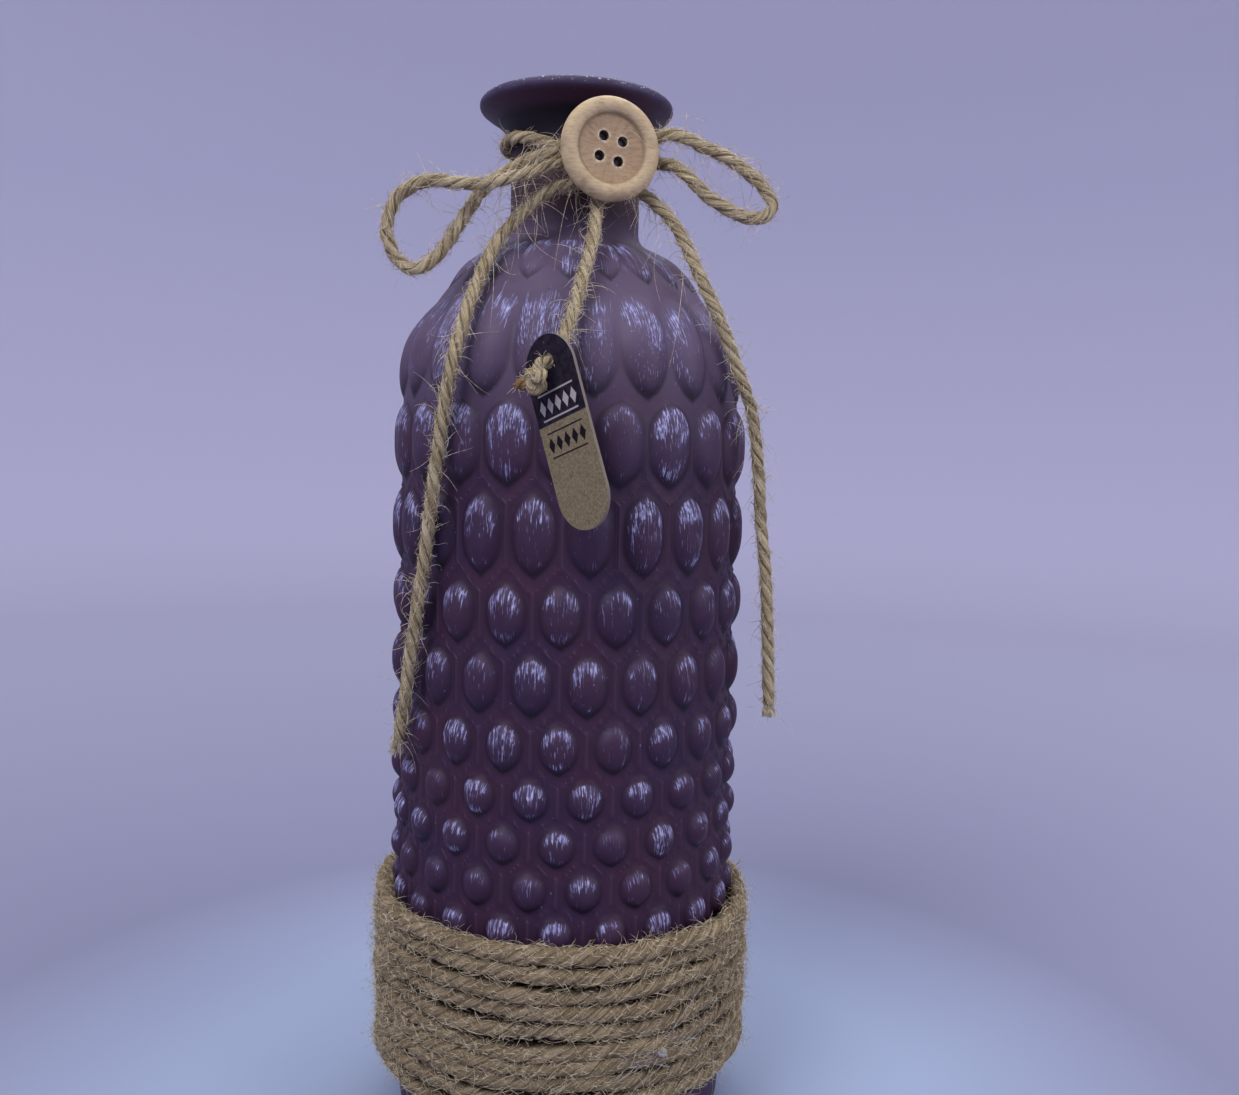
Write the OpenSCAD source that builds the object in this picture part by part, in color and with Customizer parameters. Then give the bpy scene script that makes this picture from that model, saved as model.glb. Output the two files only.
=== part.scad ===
// Hobnail glass bottle, dressed with a jute wrap, a neck bow, a wooden button and a swing tag.
// The origin is the middle of the base, +Z up, and the front of the bottle faces -Y.

/* [Bottle] */
// Height from the table to the rim
height = 276; // [250:1:320]
// Diameter of the glass between the hobnails
body_d = 90; // [86:1:100]
// Radius of the shoulder's curve
shoulder_r = 51; // [49:1:56]
// Height of the neck, from the shoulder to the rim
neck_h = 36.6; // [34:0.2:46]
// Diameter of the neck
neck_d = 34.4; // [30:0.2:38]
// Diameter of the flared lip
lip_d = 51.4; // [46:0.2:60]
// Thickness of the lip at its edge
lip_edge = 3; // [2:0.1:4]
// Height of the flare under the lip
lip_flare = 6; // [4:0.5:9]
// Diameter of the mouth
mouth_d = 26; // [20:0.5:28]
// Thickness of the glass wall
wall = 3.4; // [2.5:0.1:4.5]
// Thickness of the base at its rim
base_t = 6; // [5:0.5:9]
// Height of the push-up under the base
punt_h = 3; // [1:0.5:4]
// Radius of the curve at the heel
heel_r = 9; // [6:0.5:12]

/* [Hobnails] */
// Number of hobnails in a row
hob_around = 21; // [18:1:22]
// Width of a hobnail
hob_w = 9; // [7:0.1:9.5]
// How far the tallest hobnails stand out of the glass
hob_crest = 2.6; // [1.6:0.1:3]
// Plain glass between one row and the next
hob_gap = 1.7; // [1:0.1:3]
// Length of a petal on the shoulder
petal_len = 24; // [18:0.5:26]
// Length of a bud at the foot of the neck
bud_len = 14; // [10:0.5:16]

/* [Jute] */
// Diameter of the rope round the base
rope_d = 4.5; // [3.5:0.1:6]
// Turns of rope
rope_turns = 9.2; // [4:0.1:10]
// Height of the top edge of the wrap
rope_top = 67; // [60:0.2:90]
// Diameter of the twine of the bow, its tails and the tag's string
twine_d = 3.2; // [2.8:0.1:3.8]

/* [Button and tag] */
// Diameter of the button
button_d = 25; // [20:0.5:28]
// Thickness of the button
button_t = 4.5; // [3.5:0.1:6]
// Depth of the dish in the button
button_dish = 1.5; // [0.8:0.1:2]
// Diameter of a sewing hole
sew_d = 2.4; // [1.8:0.1:2.8]
// Distance between the sewing holes, along a side of their square
sew_pitch = 4.9; // [4:0.1:6]
// Length of the tag
tag_len = 45; // [36:0.5:48]
// Width of the tag
tag_w = 16; // [12:0.5:18]
// Thickness of the tag
tag_t = 1; // [0.6:0.1:1.4]
// Distance from the tag's top edge to its hole
tag_hole_in = 6; // [5:0.2:8]

/* [Hidden] */
$fn = 96;
seat = 0.1;            // clearance of a piece that lies against another
swing_gap = 0.3;       // clearance round a piece that swings
hob_facets = 32;       // smoothness of a hobnail when it is drawn as a mesh
twine_colour = [0.75, 0.67, 0.47];

body_r = body_d / 2;
neck_r = neck_d / 2;
lip_r = lip_d / 2;
mouth_r = mouth_d / 2;
twine_r = twine_d / 2;

// The shoulder is an arc that leaves the straight side upright and ends on the neck.
shoulder_x = body_r - shoulder_r;
neck_z = height - neck_h;
body_h = neck_z - sqrt(pow(shoulder_r, 2) - pow(neck_r - shoulder_x, 2));
neck_fillet = 4;
lip_z = height - lip_edge;

// Rows of hobnails from the shoulder down: how many widths long each one is, and its share of the crest.
// The last shape repeats down to the rope.
row_shape = [[2.25, 1], [2.2, 0.92], [1.7, 0.88], [1.65, 0.85], [1.35, 0.82], [1.1, 0.8], [1.05, 0.76]];
most_rows = 20;
rows_end = rope_top - 2 * rope_d;
function shape_of(i) = row_shape[min(i, len(row_shape) - 1)];
function row_len(i) = shape_of(i)[0] * hob_w;
function row_foot(i) = (i == 0 ? body_h + hob_gap : row_foot(i - 1) - hob_gap) - row_len(i);
row_feet = [for (i = [0:most_rows]) if (row_foot(i) > rows_end) row_foot(i)];
low_crest = hob_crest * row_shape[len(row_shape) - 1][1];
// Shoulder rows: angle up the arc, length, width, crest, and offset in half pitches
petal = [19, petal_len, hob_w * 1.05, hob_crest, 1];
bud = [50, bud_len, hob_w * 0.72, hob_crest * 0.65, 0];

// The wrap lies on the crests of the lowest row. Under it the glass is plain.
rope_r = body_r + low_crest + 2.5 * seat + rope_d / 2;
rope_pitch = rope_d + seat;
rope_rings = 36;       // rings of the rope's tube in one turn
rope_start = 165;      // where the rope's top end lies, in degrees from +X

// The bow is tied a little to the right of the front.
bow_turn = 16;
bow_z = height - 18.7;
knot_r = 4.6;
knot_core = knot_r - twine_r;
knot_step = 1.25 * twine_d;
knot_half = knot_step + twine_r;
knot_y = neck_r + 2 * seat + knot_r;
glue_t = 1;
glue_r = 7;
button_y = knot_y + knot_r + seat + glue_t + seat;
sew_turn = -12;        // turn of the square of sewing holes

// The neck loop dips from under the lip to the knot.
loop_r = neck_r + seat + twine_r;
loop_z = height - 10.7;
loop_dip = loop_z - bow_z - 0.8;
loop_rings = 34;
loop_open = asin((knot_half + 2 * seat) / loop_r);

// Places on the knot: along it from its middle, and up
function at_knot(x, z) = [knot_y * sin(bow_turn) + x * cos(bow_turn),
    x * sin(bow_turn) - knot_y * cos(bow_turn), bow_z + z];
// A cord leaves an end of the knot along it, and its underside straight down.
lead = 1.5;
function from_end(side, z) = [for (x = [knot_half + seat, knot_half + seat + lead]) at_knot(side * x, z)];
function from_under(x) = [for (z = [knot_r + seat, knot_r + seat + lead]) at_knot(x, -z)];
function turned_round(path) = [for (i = [len(path) - 1:-1:0]) path[i]];

// Routes are drawn with heights from the rim, for a body of this radius, and spread with a wider body.
drawn_r = 45;
spread_from = 25;      // how far under the rim the spread starts
spread_over = 45;      // and over what height it grows
function spread(p) = 1 + (body_r / drawn_r - 1) * min(max(-p[2] - spread_from, 0) / spread_over, 1);
function placed(p) = [p[0] * spread(p), p[1] * spread(p), p[2] + height];
function hung(route) = [for (p = route) placed(p)];

// The tag hangs by its hole, turned to the left.
hole_at = placed([-5.2, -54, -72.1]);
tag_turn = 47;
tag_lean = 4;
tag_roll = 18;
stop_r = 3.7;          // radius of the stopper knot
stop_drop = 4.4;
tag_face = [-cos(tag_lean) * sin(tag_turn), -cos(tag_lean) * cos(tag_turn), -sin(tag_lean)];
behind_tag = tag_t / 2 + swing_gap;

left_loop_route = concat(from_end(-1, 2.1), hung([[-5, -25, -19], [-11, -26, -21], [-17, -26.5, -24.5],
    [-22, -26, -28], [-25.5, -25.5, -32.5], [-29.5, -26, -39], [-33.5, -27, -45], [-38.5, -28, -48.5],
    [-43, -28, -46.5], [-45.5, -28.5, -40.5], [-44.5, -29, -34.5], [-41.5, -29.5, -30.5],
    [-35.5, -30.5, -28], [-28.5, -31.5, -28.5], [-22, -31.5, -28.5], [-16.5, -31, -27],
    [-11, -29.5, -25], [-5.5, -26.2, -22.2]]), turned_round(from_end(-1, -2.1)));
right_loop_route = concat(from_end(1, 2.1), hung([[18.5, -20, -14], [22, -22, -13], [27, -24, -14],
    [31, -24.5, -16], [36, -25, -18], [41, -25, -21], [45, -25, -24], [48, -25, -27.5],
    [49, -25.5, -30.5], [47, -26, -33], [43.5, -26, -33.5], [40, -26, -32.5], [36, -26, -30.5],
    [32, -26, -28], [28.5, -25.5, -24.5], [25, -23, -21], [20, -19.8, -19.5]]),
    turned_round(from_end(1, -2.1)));
left_tail_route = concat(from_under(-4.7), hung([[-1.2, -23.6, -26.2], [-4.4, -25.2, -27.2],
    [-7.4, -26, -29], [-11, -26.2, -32], [-18.5, -26.5, -40.5], [-22.5, -31, -50], [-25.5, -38, -60.5],
    [-28.5, -40.8, -73.5], [-30.5, -40, -85.5], [-32, -39, -97], [-34, -37, -112], [-36, -34.5, -126.5],
    [-38.5, -32, -142], [-40.5, -29, -156.5], [-42.5, -26.2, -167]]));
right_tail_route = concat(from_under(4.5), hung([[13.4, -20, -26.2], [17.2, -20.4, -27.2],
    [21, -22.5, -31], [25, -24.5, -35.5], [33.5, -28, -53], [38, -27.5, -62.5], [42, -26.5, -72],
    [46, -23.5, -82], [48.5, -20.5, -96], [50, -18, -109], [52, -17, -124.5], [53, -17, -140.5],
    [54, -17, -159.5]]));
string_route = concat(from_under(0), hung([[5.5, -24, -30], [5.2, -28.5, -35.5], [4.2, -33.8, -42.5],
    [2.6, -39, -49.5], [1.1, -43.7, -56], [-0.4, -47.4, -61.5], [-2.2, -50, -67]]),
    [for (d = [behind_tag + 0.8 * twine_r, behind_tag]) hole_at - tag_face * d]);

// Vector helpers for the swept tubes
function unit(v) = v / norm(v);
function flat_to(v, t) = unit(v - (v * t) * t);
function tangents(path) = [for (i = [0:len(path) - 1])
    unit(path[min(i + 1, len(path) - 1)] - path[max(i - 1, 0)])];
function side_rays(t) = [for (i = 0, n = flat_to([0.3, 0.2, 1], t[0]); i < len(t);
    i = i + 1, n = i < len(t) ? flat_to(n, t[i]) : n) n];

// A round tube of the given diameter along a path of points
module tube(path, d, sides = 8) {
    t = tangents(path);
    n = side_rays(t);
    last = (len(path) - 1) * sides;
    rings = [for (i = [0:len(path) - 1], j = [0:sides - 1])
        path[i] + d / 2 * (cos(360 * j / sides) * n[i] + sin(360 * j / sides) * cross(t[i], n[i]))];
    walls = [for (i = [0:len(path) - 2], j = [0:sides - 1])
        let (a = i * sides + j, b = i * sides + (j + 1) % sides) [a, a + sides, b + sides, b]];
    polyhedron(rings, concat([[for (j = [0:sides - 1]) j]],
        [[for (j = [sides - 1:-1:0]) last + j]], walls), convexity = 10);
}

// A hobnail lying on a wall whose surface is at x = 0: a round-ended barrel, sunk to its footprint
module hobnail(length, width, crest) {
    r = (pow(width / 2, 2) + pow(crest, 2)) / (2 * crest);
    straight = max(length - width, 0) / 2;
    translate([crest - r, 0, 0])
        if (straight < width / 20)
            sphere(r = r, $fn = hob_facets);
        else
            rotate_extrude($fn = hob_facets) intersection() {
                union() {
                    translate([0, straight]) circle(r = r);
                    translate([0, -straight]) circle(r = r);
                    translate([0, -straight]) square([r, 2 * straight]);
                }
                translate([0, -length]) square([2 * r, 2 * length]);
            }
}

// Every other row is turned by half a pitch, so that each hobnail sits between two above it.
module around(offset) {
    for (j = [0:hob_around - 1])
        rotate([0, 0, (j + offset / 2) * 360 / hob_around - 92]) children();
}

module hobnail_rows() {
    for (i = [0:len(row_feet) - 1])
        around(i % 2) translate([body_r, 0, row_feet[i] + row_len(i) / 2])
            hobnail(row_len(i), hob_w, hob_crest * shape_of(i)[1]);
}

module shoulder_row(s) {
    around(s[4]) translate([shoulder_x, 0, body_h]) rotate([0, -s[0], 0])
        translate([shoulder_r, 0, 0]) hobnail(s[1], s[2], s[3]);
}

// Half section of the outside of the bottle, without hobnails
module outer_profile() {
    translate([0, heel_r]) square([body_r, body_h - heel_r]);
    square([body_r - heel_r, heel_r]);
    translate([body_r - heel_r, heel_r]) circle(r = heel_r);
    translate([0, body_h]) intersection() {
        translate([shoulder_x, 0]) circle(r = shoulder_r);
        square([body_r, neck_z - body_h]);
    }
    translate([0, neck_z - wall]) square([neck_r, height - neck_z]);
    // the fillet where the shoulder turns up into the neck
    difference() {
        translate([0, neck_z - neck_fillet]) square([neck_r + neck_fillet * 0.6, 2 * neck_fillet]);
        translate([neck_r + neck_fillet, neck_z + neck_fillet * 0.75]) circle(r = neck_fillet);
        translate([neck_r + neck_fillet * 0.4, neck_z + neck_fillet * 0.75]) square(2 * neck_fillet);
    }
    // the flared lip, with a rolled edge
    translate([lip_r - lip_edge / 2, lip_z + lip_edge / 2]) circle(r = lip_edge / 2);
    polygon([[0, lip_z - lip_flare], [neck_r, lip_z - lip_flare],
        [neck_r + lip_flare * 0.35, lip_z - lip_flare * 0.55], [lip_r - lip_edge / 2, lip_z],
        [lip_r - lip_edge / 2, height], [0, height]]);
}

module bottle() color([0.27, 0.15, 0.28]) difference() {
    union() {
        rotate_extrude() intersection() {
            outer_profile();
            square([body_r + lip_r, height]);
        }
        hobnail_rows();
        shoulder_row(petal);
        shoulder_row(bud);
    }
    // the hollow: the same section, one wall in
    rotate_extrude() {
        translate([0, base_t + heel_r / 2]) square([body_r - wall, body_h - base_t - heel_r / 2]);
        translate([0, base_t]) square([body_r - wall - heel_r / 2, heel_r]);
        translate([body_r - wall - heel_r / 2, base_t + heel_r / 2]) circle(r = heel_r / 2);
        translate([0, body_h]) intersection() {
            translate([shoulder_x, 0]) circle(r = shoulder_r - wall);
            square([body_r, shoulder_r]);
        }
    }
    translate([0, 0, body_h]) cylinder(r = mouth_r, h = height - body_h + 1);
    // the mouth is eased with a small cone
    mouth_ease = lip_edge / 2;
    translate([0, 0, height - mouth_ease])
        cylinder(r1 = mouth_r, r2 = mouth_r + 2 * mouth_ease, h = 2 * mouth_ease);
    // the push-up
    punt_r = body_r - heel_r - wall;
    punt_ball = (pow(punt_r, 2) + pow(punt_h, 2)) / (2 * punt_h);
    translate([0, 0, punt_h - punt_ball]) sphere(r = punt_ball);
}

module base_rope() color([0.59, 0.51, 0.37])
    tube([for (k = [0:rope_rings * rope_turns]) let (a = rope_start + k * 360 / rope_rings)
        [rope_r * cos(a), rope_r * sin(a), rope_top - rope_d / 2 - rope_pitch * k / rope_rings]], rope_d);

// A drop of hot glue that squeezed out between two turns of the wrap
module rope_glue_bead() color([0.8, 0.8, 0.85]) {
    bead_r = 1.3;
    bead_at = 299;     // degrees from +X
    turns_down = 5.5 + (bead_at - rope_start) / 360;
    out = sqrt(pow(rope_d / 2 + bead_r + seat / 2, 2) - pow(rope_pitch / 2, 2));
    rotate([0, 0, bead_at])
        translate([rope_r + out, 0, rope_top - rope_d / 2 - rope_pitch * turns_down])
            sphere(r = bead_r);
}

module neck_loop() color(twine_colour)
    rotate([0, 0, bow_turn])
        tube([for (k = [0:loop_rings]) let (a = loop_open + k * (360 - 2 * loop_open) / loop_rings,
            front = max(cos(a), 0))
            [loop_r * sin(a), -loop_r * cos(a), loop_z - loop_dip * pow(front, 3)]], twine_d);

// Three snug turns of twine round the crossing of the bow
module bow_knot() color(twine_colour)
    rotate([0, 0, bow_turn]) translate([0, -knot_y, bow_z]) rotate([0, 90, 0]) {
        cylinder(r = knot_core + twine_r / 2, h = 2 * knot_half, center = true);
        for (i = [-1:1])
            translate([0, 0, i * knot_step]) rotate_extrude() translate([knot_core, 0]) circle(r = twine_r);
    }

module left_loop() color(twine_colour) tube(left_loop_route, twine_d);
module right_loop() color(twine_colour) tube(right_loop_route, twine_d);
module left_tail() color(twine_colour) tube(left_tail_route, twine_d);
module right_tail() color(twine_colour) tube(right_tail_route, twine_d);

// The pad of hot glue that holds the button on the knot
module button_glue() color([0.85, 0.85, 0.82])
    rotate([0, 0, bow_turn]) translate([0, seat - button_y, bow_z]) rotate([-90, 0, 0])
        cylinder(r = glue_r, h = glue_t);

// A turned button: a rolled rim, a flat dish and four sewing holes
module button() color([0.76, 0.66, 0.54])
    rotate([0, 0, bow_turn]) translate([0, -button_y, bow_z]) rotate([90, 0, 0]) difference() {
        rotate_extrude() {
            translate([(button_d - button_t) / 2, button_t / 2]) circle(r = button_t / 2);
            square([(button_d - button_t) / 2, button_t - button_dish]);
        }
        for (k = [0:3])
            rotate([0, 0, 45 + sew_turn + 90 * k]) translate([sew_pitch / sqrt(2), 0, -1])
                cylinder(r = sew_d / 2, h = button_t + 2);
    }

module tag_string() color(twine_colour) tube(string_route, twine_d);

// The twine through the tag's hole and the stopper knot in front of it
module tag_knot() color([0.7, 0.6, 0.42]) {
    translate(hole_at) rotate([tag_lean, 0, -tag_turn]) {
        translate([0, behind_tag, 0]) rotate([90, 0, 0])
            cylinder(r = twine_r, h = behind_tag + stop_r + 1);
        translate([0, -behind_tag - stop_r, -stop_drop]) sphere(r = stop_r);
    }
}

// A card tag with round ends, hung by its hole
module tag() color([0.45, 0.39, 0.3])
    translate(hole_at) rotate([tag_lean, 0, -tag_turn]) rotate([0, -tag_roll, 0]) rotate([90, 0, 0])
        translate([0, 0, -tag_t / 2]) difference() {
            linear_extrude(tag_t) {
                translate([0, tag_hole_in - tag_w / 2]) circle(r = tag_w / 2);
                translate([0, tag_hole_in - tag_len + tag_w / 2]) circle(r = tag_w / 2);
                translate([-tag_w / 2, tag_hole_in - tag_len + tag_w / 2]) square([tag_w, tag_len - tag_w]);
            }
            translate([0, 0, -1]) cylinder(r = twine_r + swing_gap, h = tag_t + 2);
        }

bottle();
base_rope();
rope_glue_bead();
neck_loop();
bow_knot();
left_loop();
right_loop();
left_tail();
right_tail();
button_glue();
button();
tag_string();
tag_knot();
tag();
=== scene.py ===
# %% [markdown]
# # A hobnail glass bottle, dressed with jute
# The bottle is moulded glass, painted a matte plum and dry-brushed with lilac. Jute rope is glued round its
# foot. A jute bow, a wooden button and a card tag hang at its neck.
# The CAD frame gives every piece its place, in metres, with +Z up and the front of the bottle towards -Y.

# %% Load the frame
import math
import random

import bmesh
import bpy
from mathutils import Matrix, Vector, noise


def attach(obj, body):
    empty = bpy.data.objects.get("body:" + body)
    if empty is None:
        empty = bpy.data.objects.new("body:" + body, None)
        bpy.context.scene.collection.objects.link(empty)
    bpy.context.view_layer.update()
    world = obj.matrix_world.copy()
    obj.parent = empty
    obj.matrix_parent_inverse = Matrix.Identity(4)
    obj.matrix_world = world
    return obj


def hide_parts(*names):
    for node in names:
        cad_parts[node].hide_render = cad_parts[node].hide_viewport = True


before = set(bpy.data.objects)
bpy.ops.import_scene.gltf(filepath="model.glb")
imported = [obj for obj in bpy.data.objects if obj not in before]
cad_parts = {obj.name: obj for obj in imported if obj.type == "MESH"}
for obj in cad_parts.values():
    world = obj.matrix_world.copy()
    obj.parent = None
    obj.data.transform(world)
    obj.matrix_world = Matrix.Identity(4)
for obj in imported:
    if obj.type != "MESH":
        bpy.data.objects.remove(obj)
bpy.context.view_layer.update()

# %% [markdown]
# ## Units and shared helpers
# The lengths below are written in millimetres, because that is how a bottle is measured.
# One factor turns them into Blender's metres.
# The root body carries everything that is glued or tied on.
# Three steps come back for nearly every piece: spin a section, make an object and name its body.

# %% Units and helpers
MM = 0.001
BOTTLE = "dressed_bottle"


def mm(x, y, z):
    """A point given in millimetres."""
    return Vector((x, y, z)) * MM


def spun(section, steps, unit=MM, start=Matrix.Identity(3), closed=False):
    """A section, as (radius, height) points, that is swept once round +Z."""
    bm = bmesh.new()
    drawn = [bm.verts.new(start @ (Vector((r, 0, z)) * unit)) for r, z in section]
    lines = [bm.edges.new((a, b)) for a, b in zip(drawn, drawn[1:])]
    if closed:
        lines.append(bm.edges.new((drawn[-1], drawn[0])))
    bmesh.ops.spin(bm, geom=drawn + lines, cent=(0, 0, 0), axis=(0, 0, 1), angle=2 * math.pi, steps=steps,
                   use_merge=True, use_duplicate=False)
    bmesh.ops.remove_doubles(bm, verts=bm.verts, dist=1e-6)
    return bm


def add_object(name, shape):
    """A smooth object in the scene, from a mesh or a bmesh."""
    if isinstance(shape, bmesh.types.BMesh):
        bm, shape = shape, bpy.data.meshes.new(name)
        bm.to_mesh(shape)
        bm.free()
    shape.name = name
    shape.shade_smooth()
    piece = bpy.data.objects.new(name, shape)
    bpy.context.scene.collection.objects.link(piece)
    return piece


def stands_for(piece, body, slot, *nodes):
    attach(piece, body)
    if nodes:
        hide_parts(*nodes)
    return piece


# %% [markdown]
# ## The camera
# A phone held level with the shoulder of the bottle, about 30 cm away, looks very slightly down.
# The view is written as three directions: what is right, up and ahead for the lens.
# A matrix built from them needs no guessing of angles.

# %% Camera
right = Vector((0.9988, -0.0438, 0.0224)).normalized()
ahead = Vector((0.0456, 0.9955, -0.0833)).normalized()
up = right.cross(ahead).normalized()
ahead = up.cross(right)

lens = bpy.data.cameras.new("phone")
lens.sensor_fit = "HORIZONTAL"
lens.sensor_width = 36.0
lens.lens = 32.406
lens.clip_start = 0.01
camera = bpy.data.objects.new("phone", lens)
bpy.context.scene.collection.objects.link(camera)
bpy.context.scene.camera = camera
camera.matrix_world = Matrix.Translation(mm(0, -306.9, 183.5)) @ Matrix((right, up, -ahead)).transposed().to_4x4()
print("lens", lens.lens, "mm, height", round(camera.location.z, 4), "m")

# %% [markdown]
# ## Cords
# A jute cord is three or four strands, laid round each other to the left. From the side it looks like a row of
# slanted lobes.
# A curve with a bevel would give a plain round hose, so each cord is a sheet of squares that is rolled up along
# its route. The rim of the roll has one lobe for each strand, and it turns as it goes.
# First come the helpers: a smooth route, and directions that don't spin along it.

# %% Smooth routes
def smooth(points, step):
    """Evenly spaced points, `step` apart, on a smooth curve through all the given points."""
    knots = [0.0]
    for a, b in zip(points, points[1:]):
        knots.append(knots[-1] + (b - a).length ** 0.5)
    slopes = []
    for i, p in enumerate(points):
        a, b = max(i - 1, 0), min(i + 1, len(points) - 1)
        slopes.append((points[b] - points[a]) / (knots[b] - knots[a]))
    dense = []
    for i in range(len(points) - 1):
        width = knots[i + 1] - knots[i]
        for k in range(24):
            t = k / 24
            dense.append(points[i] * (1 + 2 * t) * (1 - t) ** 2 + slopes[i] * width * t * (1 - t) ** 2
                         + points[i + 1] * t * t * (3 - 2 * t) - slopes[i + 1] * width * t * t * (1 - t))
    dense.append(points[-1])
    return spaced(dense, step)


def length_of(points):
    return sum((b - a).length for a, b in zip(points, points[1:]))


def spaced(points, step):
    """The same line, with its points evenly spaced."""
    total = length_of(points)
    count = max(round(total / step), 2)
    out, run, i = [points[0]], 0.0, 0
    for k in range(1, count):
        goal = total * k / count
        while run + (points[i + 1] - points[i]).length < goal:
            run += (points[i + 1] - points[i]).length
            i += 1
        span = (points[i + 1] - points[i]).length
        out.append(points[i].lerp(points[i + 1], (goal - run) / span))
    out.append(points[-1])
    return out


def carried_frames(points, start=Vector((0.3, 0.2, 1.0))):
    """For each point: the way ahead, and two directions across it that are carried along without spin."""
    frames, side = [], start
    for i in range(len(points)):
        t = (points[min(i + 1, len(points) - 1)] - points[max(i - 1, 0)]).normalized()
        side = (side - t * side.dot(t)).normalized()
        frames.append((t, side, t.cross(side)))
    return frames


# %% [markdown]
# ## Rolling up a laid cord
# `create_grid` makes the sheet. Its columns go round the cord and its rows go along it.
# Every corner keeps three numbers in an attribute called `lay`: how far along it is, and where it sits round
# its own strand. The materials use them to run the fibres with the strands.

# %% The cord maker
def lobed(angle, strands):
    """Radius of a cord's outline at an angle, where the whole cord has radius 1."""
    out = 0.31
    ball = 1 - out
    turn = 2 * math.pi / strands
    off = (angle + turn / 2) % turn - turn / 2
    inside = ball * ball - (out * math.sin(off)) ** 2
    return out * math.cos(off) + math.sqrt(max(inside, 0.04))


def roll_cord(name, points, width, lay, strands=3, per_strand=6, taper_start=0.0, taper_end=0.0, loose=0.0,
              rough=0.09, seed=1):
    """A closed mesh of a laid cord along the points. Tapers are lengths over which it thins to its ends.

    `loose` makes the whole cord swell and shrink. `rough` raises yarns and sinks others, along their strand.
    """
    around = strands * per_strand
    frames = carried_frames(points)
    bm = bmesh.new()
    bmesh.ops.create_grid(bm, x_segments=around, y_segments=len(points) - 1, size=1)
    fibre = bm.verts.layers.float_vector.new("lay")
    bm.verts.ensure_lookup_table()
    total = length_of(points)
    run = 0.0
    for i, p in enumerate(points):
        if i:
            run += (p - points[i - 1]).length
        t, n, b = frames[i]
        twist = -2 * math.pi * run / lay + 0.9 * noise.noise(Vector((run / (1.1 * lay), 3.1 * seed, 4)))
        swell = 1 + loose * noise.noise(Vector((run / (1.3 * lay), seed * 7.3, 0)))
        if taper_start and run < taper_start:
            swell *= 0.35 + 0.65 * math.sqrt(run / taper_start)
        if taper_end and total - run < taper_end:
            swell *= 0.35 + 0.65 * math.sqrt((total - run) / taper_end)
        for j in range(around + 1):
            own = 2 * math.pi * j / around
            yarn = noise.noise(Vector((run / (0.3 * lay), 2.6 * math.cos(own) + 9 * seed, 2.6 * math.sin(own))))
            r = width / 2 * lobed(own, strands) * swell * (1 + rough * yarn)
            v = bm.verts[i * (around + 1) + j]
            v.co = p + r * (math.cos(own + twist) * n + math.sin(own + twist) * b)
            v[fibre] = Vector((run / MM, math.cos(own), math.sin(own)))
    bmesh.ops.remove_doubles(bm, verts=bm.verts, dist=width * 1e-4)
    bmesh.ops.holes_fill(bm, edges=[e for e in bm.edges if e.is_boundary])
    bmesh.ops.recalc_face_normals(bm, faces=bm.faces)
    piece = add_object(name, bm)
    print(f"{name}: {total * 1000:.0f} mm of cord, {len(piece.data.polygons)} faces")
    return piece


# %% [markdown]
# ## The bow's twine
# One thin cord goes round the neck, makes two loops and leaves two tails. A shorter end carries the tag.
# A limp cord keeps the curves it was tied in, so each route is a list of places that it passes through.
# The tails and loops are free cords.

# %% Routes of the twine
TWINE = 3.2 * MM
TWINE_LAY = 14.5 * MM
KNOT = mm(6.06, -21.15, 257.3)

left_loop_route = [mm(*p) for p in (
    (0.58, -22.72, 259.4), (-0.86, -23.13, 259.4), (-5, -25, 257), (-11, -26, 255), (-17, -26.5, 251.5),
    (-22, -26, 248), (-25.5, -25.5, 243.5), (-29.5, -26, 237), (-33.5, -27, 231), (-38.5, -28, 227.5),
    (-43, -28, 229.5), (-45.5, -28.5, 235.5), (-44.5, -29, 241.5), (-41.5, -29.5, 245.5), (-35.5, -30.5, 248),
    (-28.5, -31.5, 247.5), (-22, -31.5, 247.5), (-16.5, -31, 249), (-11, -29.5, 251), (-5.5, -26.2, 253.8),
    (-0.86, -23.13, 255.2), (0.58, -22.72, 255.2))]
right_loop_route = [mm(*p) for p in (
    (11.54, -19.58, 259.4), (12.99, -19.16, 259.4), (18.5, -20, 262), (22, -22, 263), (27, -24, 262),
    (31, -24.5, 260), (36, -25, 258), (41, -25, 255), (45, -25, 252), (48, -25, 248.5), (49, -25.5, 245.5),
    (47, -26, 243), (43.5, -26, 242.5), (40, -26, 243.5), (36, -26, 245.5), (32, -26, 248), (28.5, -25.5, 251.5),
    (25, -23, 255), (20, -19.8, 256.5), (12.99, -19.16, 255.2), (11.54, -19.58, 255.2))]
left_tail_route = [mm(*p) for p in (
    (1.55, -22.44, 252.6), (1.55, -22.44, 251.1), (-1.2, -23.6, 249.8), (-4.4, -25.2, 248.8), (-7.4, -26, 247),
    (-11, -26.2, 244), (-18.5, -26.5, 235.5), (-22.5, -31, 226), (-25.5, -38, 215.5), (-28.5, -40.8, 202.5),
    (-30.5, -40, 190.5), (-32, -39, 179), (-34, -37, 164), (-36, -34.5, 149.5), (-38.5, -32, 134),
    (-40.5, -29, 119.5), (-42.5, -26.2, 109))]
right_tail_route = [mm(*p) for p in (
    (10.39, -19.91, 252.6), (10.39, -19.91, 251.1), (13.4, -20, 249.8), (17.2, -20.4, 248.8), (21, -22.5, 245),
    (25, -24.5, 240.5), (33.5, -28, 223), (38, -27.5, 213.5), (42, -26.5, 204), (46, -23.5, 194),
    (48.5, -20.5, 180), (50, -18, 167), (52, -17, 151.5), (53, -17, 135.5), (54, -17, 116.5))]
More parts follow.
